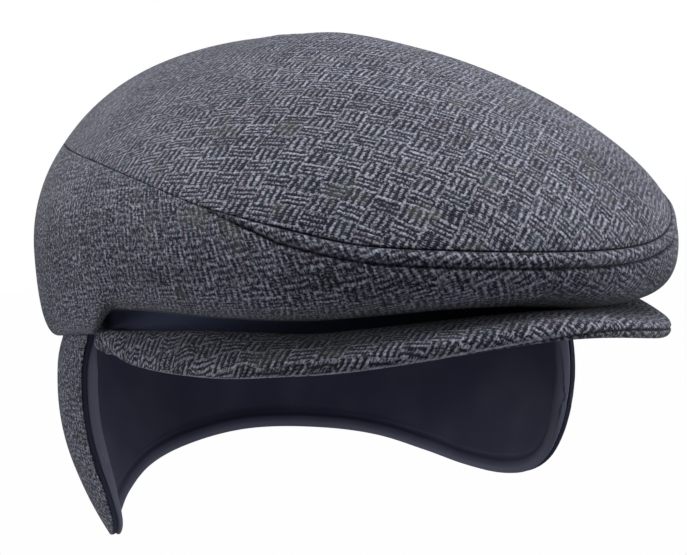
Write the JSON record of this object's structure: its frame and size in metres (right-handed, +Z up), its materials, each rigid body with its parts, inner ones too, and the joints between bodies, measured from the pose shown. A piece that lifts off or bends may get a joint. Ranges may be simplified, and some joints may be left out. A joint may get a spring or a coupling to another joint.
{
  "type": "flat cap with earflaps",
  "caption": "Rounded tweed flat cap with a short stiff peak, a top panel seamed to a side panel, and lined earflaps hanging in one band from ear to ear round the back",
  "frame": {"origin": "the middle of the head opening, level with the crown's lower edge", "axes": "+Z up, the peak points along -Y, the wearer's left is +X"},
  "size_m": [0.2, 0.2661, 0.1689],
  "materials": {
    "tweed": "napped wool tweed, charcoal with pale bluish-grey yarns in a woven block pattern",
    "lining": "dark blue-black lining with a faint soft sheen"
  },
  "bodies": {
    "root": {"crown_top": "tweed", "side_panel": "tweed", "peak": "tweed", "earflap_cloth": "tweed", "earflap_lining": "lining"}
  },
  "joints": []
}
